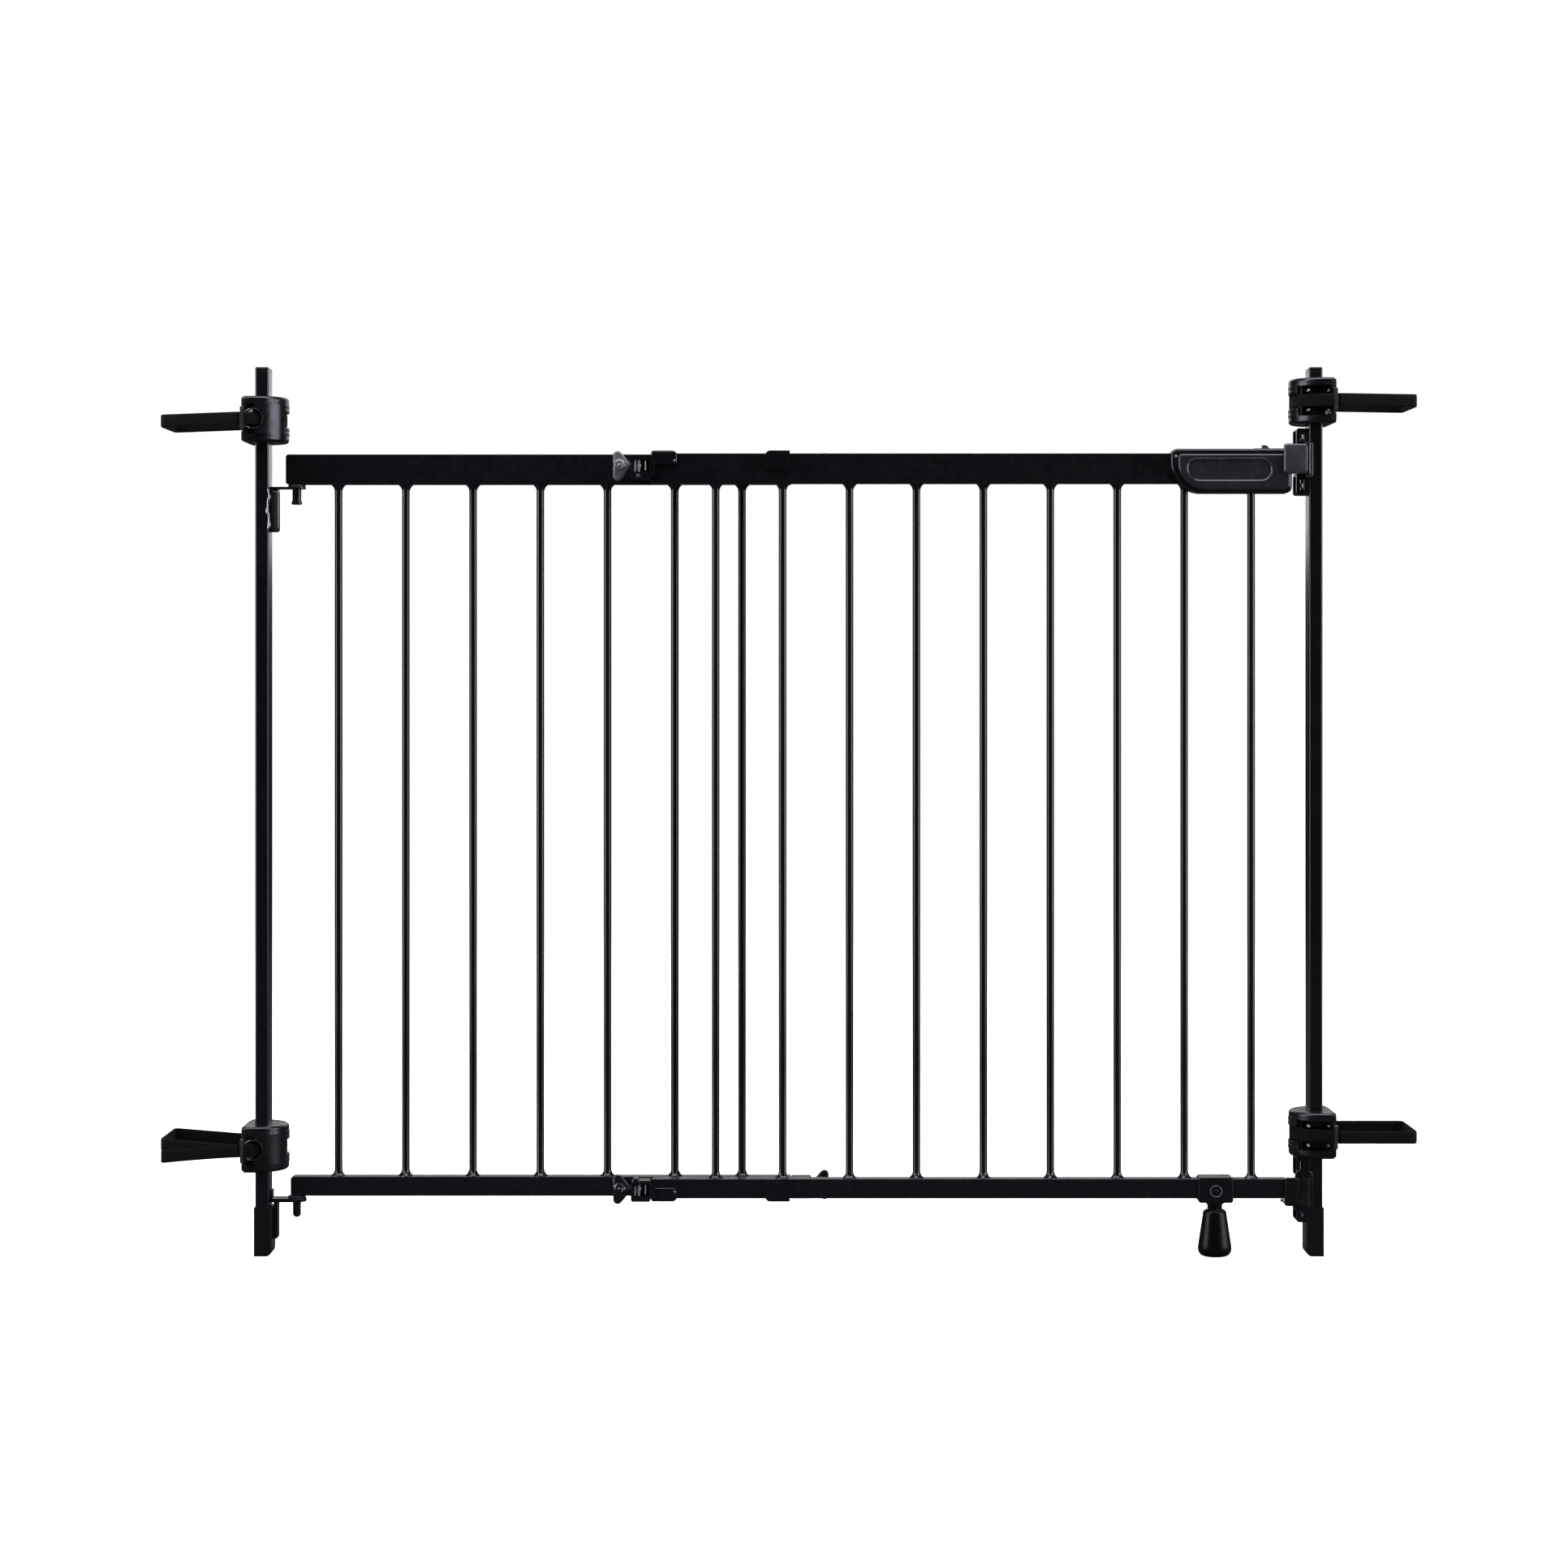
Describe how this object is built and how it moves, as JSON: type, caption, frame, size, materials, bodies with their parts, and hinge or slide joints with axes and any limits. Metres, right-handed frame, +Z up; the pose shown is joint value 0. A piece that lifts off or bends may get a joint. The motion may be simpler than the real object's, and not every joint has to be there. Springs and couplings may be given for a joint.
{
  "type": "baby gate",
  "caption": "Black steel safety gate for stairs that straps to newel posts: extending barred panel, hinge side, lift latch handle and support foot.",
  "frame": {"origin": "on the floor, midway between the two newel posts, in the middle of the gate's depth", "axes": "+X to the right along the gate seen from the user's side, towards the latch; +Y away from the user, the way the gate swings open; +Z up"},
  "size_m": [1.2822, 0.0856, 0.914],
  "materials": {
    "coated_steel": "satin black powder coat",
    "satin_plastic": "satin moulded black nylon",
    "handle_plastic": "semi-gloss moulded black",
    "knob_plastic": "glossy moulded black",
    "guide_plastic": "glossy dark grey",
    "grip_rubber": "matt black rubber",
    "foot_rubber": "matt black rubber",
    "webbing": "ribbed black polyester webbing",
    "nylon": "matt nylon",
    "bare_steel": "zinc plated"
  },
  "bodies": {
    "left_post": {"left_adapter_pads": "grip_rubber", "left_end_caps": "satin_plastic", "left_lower_adapter": "satin_plastic", "left_lower_strap": "webbing", "left_strap_guides": "guide_plastic", "left_upper_adapter": "satin_plastic", "left_upper_strap": "webbing", "left_upright": "coated_steel", "upper_hinge_bracket": "coated_steel", "lower_hinge_bracket": "coated_steel"},
    "hinge_washer_pair": {"hinge_washers": "nylon"},
    "rear_panel": {"rear_top_rail": "coated_steel", "rear_bottom_rail": "coated_steel", "hinge_pins": "coated_steel", "rear_clamp_upper": "coated_steel", "rear_clamp_lower": "coated_steel", "rear_bar_1": "coated_steel", "rear_bar_2": "coated_steel", "rear_bar_3": "coated_steel", "rear_bar_4": "coated_steel", "rear_bar_5": "coated_steel", "rear_bar_6": "coated_steel", "rear_bar_7": "coated_steel"},
    "front_panel": {"front_top_rail": "coated_steel", "front_bottom_rail": "coated_steel", "front_clamp_upper": "coated_steel", "front_clamp_lower": "coated_steel", "handle_front_shell": "handle_plastic", "handle_rear_shell": "handle_plastic", "latch_spring": "bare_steel", "lower_latch_tongue": "satin_plastic", "foot_clamp": "satin_plastic", "foot_stem": "satin_plastic", "front_fasteners": "bare_steel", "front_bar_1": "coated_steel", "front_bar_2": "coated_steel", "front_bar_3": "coated_steel", "front_bar_4": "coated_steel", "front_bar_5": "coated_steel", "front_bar_6": "coated_steel", "front_bar_7": "coated_steel", "front_bar_8": "coated_steel", "front_bar_9": "coated_steel"},
    "right_post": {"right_adapter_pads": "grip_rubber", "right_end_caps": "satin_plastic", "right_lower_adapter": "satin_plastic", "right_lower_strap": "webbing", "right_strap_guides": "guide_plastic", "right_upper_adapter": "satin_plastic", "right_upper_strap": "webbing", "right_upright": "coated_steel", "upper_latch_receiver": "satin_plastic", "lower_latch_receiver": "satin_plastic"},
    "front_knob_upper": {"front_knob_upper": "knob_plastic"},
    "front_knob_lower": {"front_knob_lower": "knob_plastic"},
    "rear_knob_upper": {"rear_knob_upper": "knob_plastic"},
    "rear_knob_lower": {"rear_knob_lower": "knob_plastic"},
    "latch_slide": {"latch_button": "handle_plastic", "latch_bolt": "coated_steel"},
    "support_foot": {"rubber_foot": "foot_rubber"}
  },
  "joints": [
    {"name": "gate_lift", "type": "slide", "parent": "left_post", "child": "hinge_washer_pair", "axis": [0, 0, 1], "range_m": [0, 0.005]},
    {"name": "gate_swing", "type": "hinge", "parent": "hinge_washer_pair", "child": "rear_panel", "pos_m": [-0.5085, 0.0085, 0.06], "axis": [0, 0, 1], "range_deg": [0, 95]},
    {"name": "panel_extend", "type": "slide", "parent": "rear_panel", "child": "front_panel", "axis": [1, 0, 0], "range_m": [-0.32, 0.045]},
    {"name": "right_post_shift", "type": "slide", "parent": "left_post", "child": "right_post", "axis": [1, 0, 0], "range_m": [-0.32, 0.045]},
    {"name": "front_upper_knob_turn", "type": "hinge", "parent": "front_panel", "child": "front_knob_upper", "pos_m": [-0.17, -0.016, 0.812], "axis": [1, 0, 0], "range_deg": [-180, 180]},
    {"name": "front_lower_knob_turn", "type": "hinge", "parent": "front_panel", "child": "front_knob_lower", "pos_m": [-0.17, -0.016, 0.0697], "axis": [1, 0, 0], "range_deg": [-180, 180]},
    {"name": "rear_upper_knob_turn", "type": "hinge", "parent": "rear_panel", "child": "rear_knob_upper", "pos_m": [0.031, 0.016, 0.812], "axis": [1, 0, 0], "range_deg": [-180, 180]},
    {"name": "rear_lower_knob_turn", "type": "hinge", "parent": "rear_panel", "child": "rear_knob_lower", "pos_m": [0.031, 0.016, 0.0697], "axis": [1, 0, 0], "range_deg": [-180, 180]},
    {"name": "latch_release", "type": "slide", "parent": "front_panel", "child": "latch_slide", "axis": [1, 0, 0], "range_m": [-0.008, 0], "stiffness_N_per_m": 250, "springref_m": 0.004, "deforming": ["latch_spring"]},
    {"name": "foot_height", "type": "slide", "parent": "front_panel", "child": "support_foot", "axis": [0, 0, 1], "range_m": [-0.01, 0.008]}
  ],
  "couplings": [
    {"joint": "right_post_shift", "follows": "panel_extend", "ratio": 1}
  ]
}
